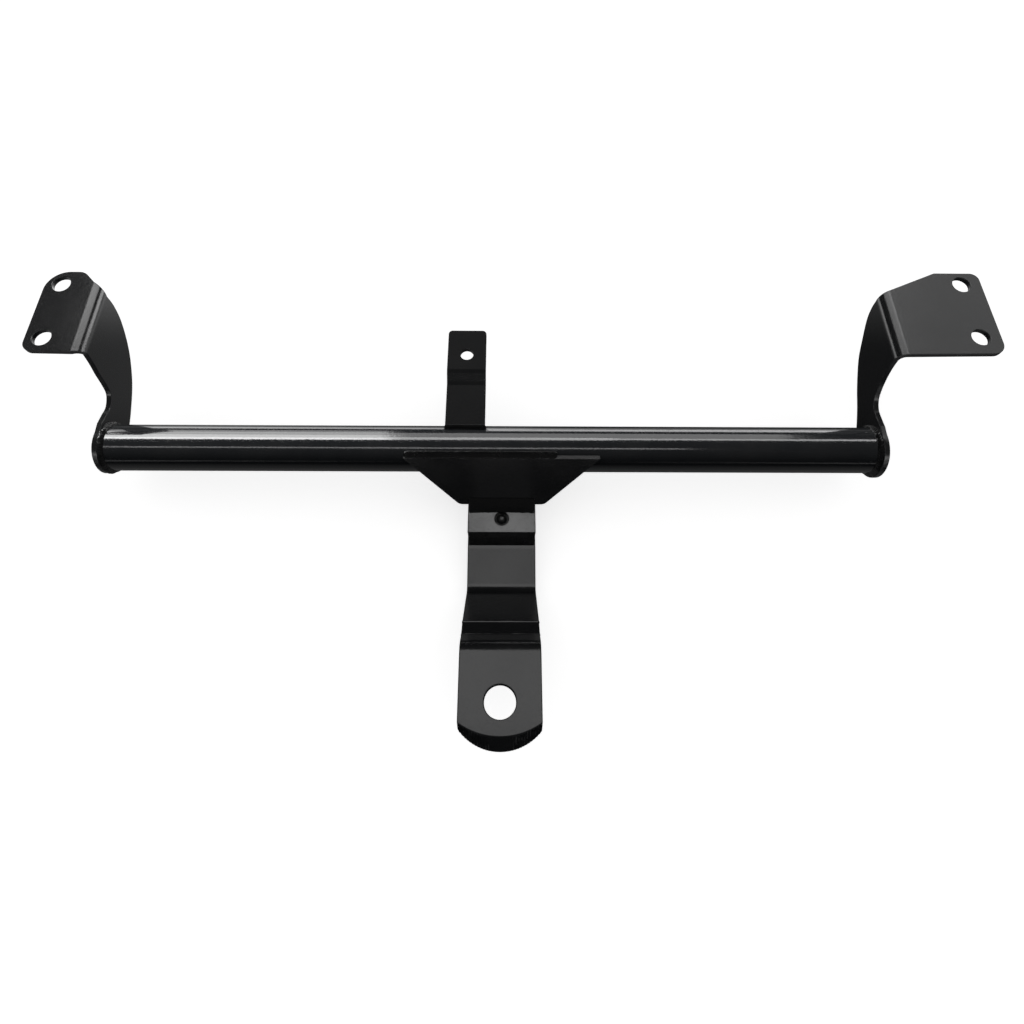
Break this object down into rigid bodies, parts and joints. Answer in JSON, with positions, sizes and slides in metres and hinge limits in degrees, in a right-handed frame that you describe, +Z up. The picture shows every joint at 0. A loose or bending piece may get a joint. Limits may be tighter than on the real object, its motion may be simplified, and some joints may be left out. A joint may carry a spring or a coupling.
{
  "type": "fixed-tongue tow bar",
  "caption": "Welded black steel tow bar: a round crossbar between bent flange brackets, with a swan-neck ball tongue, a leaning gusset and a rear strap.",
  "frame": {"origin": "middle of the underside of the bounding box", "axes": "+X along the crossbar towards the wider flange, +Y from the tongue towards the vehicle, +Z up, square to the flanges and the ball platform"},
  "size_m": [0.8906, 0.4158, 0.1363],
  "materials": {
    "plate_coat": "semi-gloss black powder coat on flat plate and bar",
    "tube_coat": "glossier black powder coat on drawn pipe",
    "bead_coat": "black powder coat over rippled weld beads"
  },
  "bodies": {
    "root": {"crossbar_tube": "tube_coat", "bracket_left": "plate_coat", "bracket_right": "plate_coat", "stub_plate": "plate_coat", "tongue_bar": "plate_coat", "gusset_plate": "plate_coat", "rear_strap": "plate_coat", "plug_weld": "bead_coat", "weld_ring_left": "bead_coat", "weld_ring_right": "bead_coat", "weld_gusset_top": "bead_coat", "weld_gusset_foot": "bead_coat", "weld_stub_front": "bead_coat", "weld_stub_rear": "bead_coat", "weld_tongue_rear": "bead_coat", "weld_strap_top": "bead_coat", "weld_strap_under": "bead_coat"}
  },
  "joints": []
}
